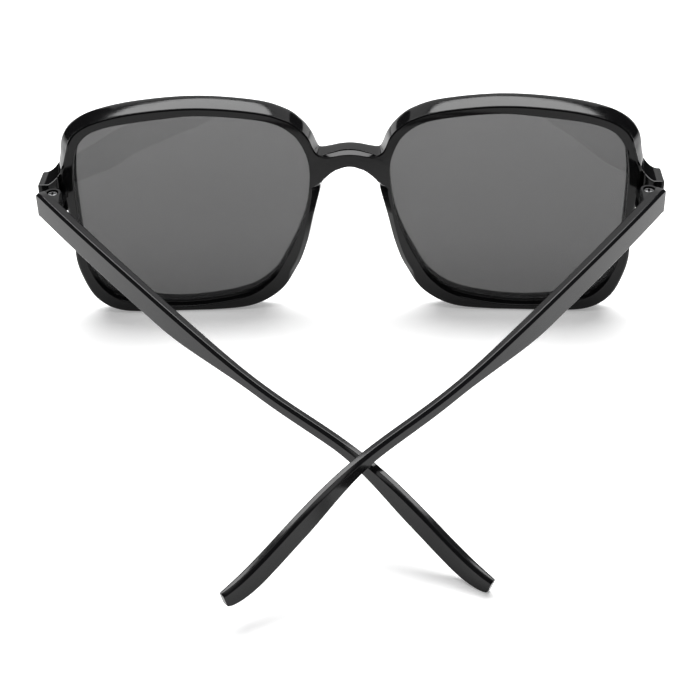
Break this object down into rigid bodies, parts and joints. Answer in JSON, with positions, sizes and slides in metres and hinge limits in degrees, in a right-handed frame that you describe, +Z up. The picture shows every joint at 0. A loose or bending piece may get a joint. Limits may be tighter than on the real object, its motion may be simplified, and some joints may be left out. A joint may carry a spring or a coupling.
{
  "type": "square sunglasses",
  "caption": "Square full-rim sunglasses with a gently wrapped moulded front, tinted lenses and slim folding temples, resting half folded and crossed.",
  "frame": {"origin": "middle of the footprint's bounding box, on the surface that the sunglasses stand on", "axes": "+Z up, -Y the way the front faces, +X towards the wearer's left"},
  "size_m": [0.1498, 0.1226, 0.0567],
  "materials": {
    "front_black": "polished black",
    "temple_black": "polished black",
    "lens_grey": "even grey tint",
    "screw_steel": "turned steel"
  },
  "bodies": {
    "front": {"frame_front": "front_black", "lens_left": "lens_grey", "lens_right": "lens_grey"},
    "temple_left_arm": {"temple_left": "temple_black", "hinge_screw_left": "screw_steel"},
    "temple_right_arm": {"temple_right": "temple_black", "hinge_screw_right": "screw_steel"}
  },
  "joints": [
    {"name": "right_temple_fold", "type": "hinge", "parent": "front", "child": "temple_right_arm", "pos_m": [-0.0708, -0.04838, 0.0342], "axis": [0, 0, 1], "range_deg": [-44, 37]},
    {"name": "left_temple_fold", "type": "hinge", "parent": "front", "child": "temple_left_arm", "pos_m": [0.0708, -0.04838, 0.0342], "axis": [0, 0, 1], "range_deg": [-37, 44]}
  ],
  "couplings": [
    {"joint": "left_temple_fold", "follows": "right_temple_fold", "ratio": -1}
  ]
}
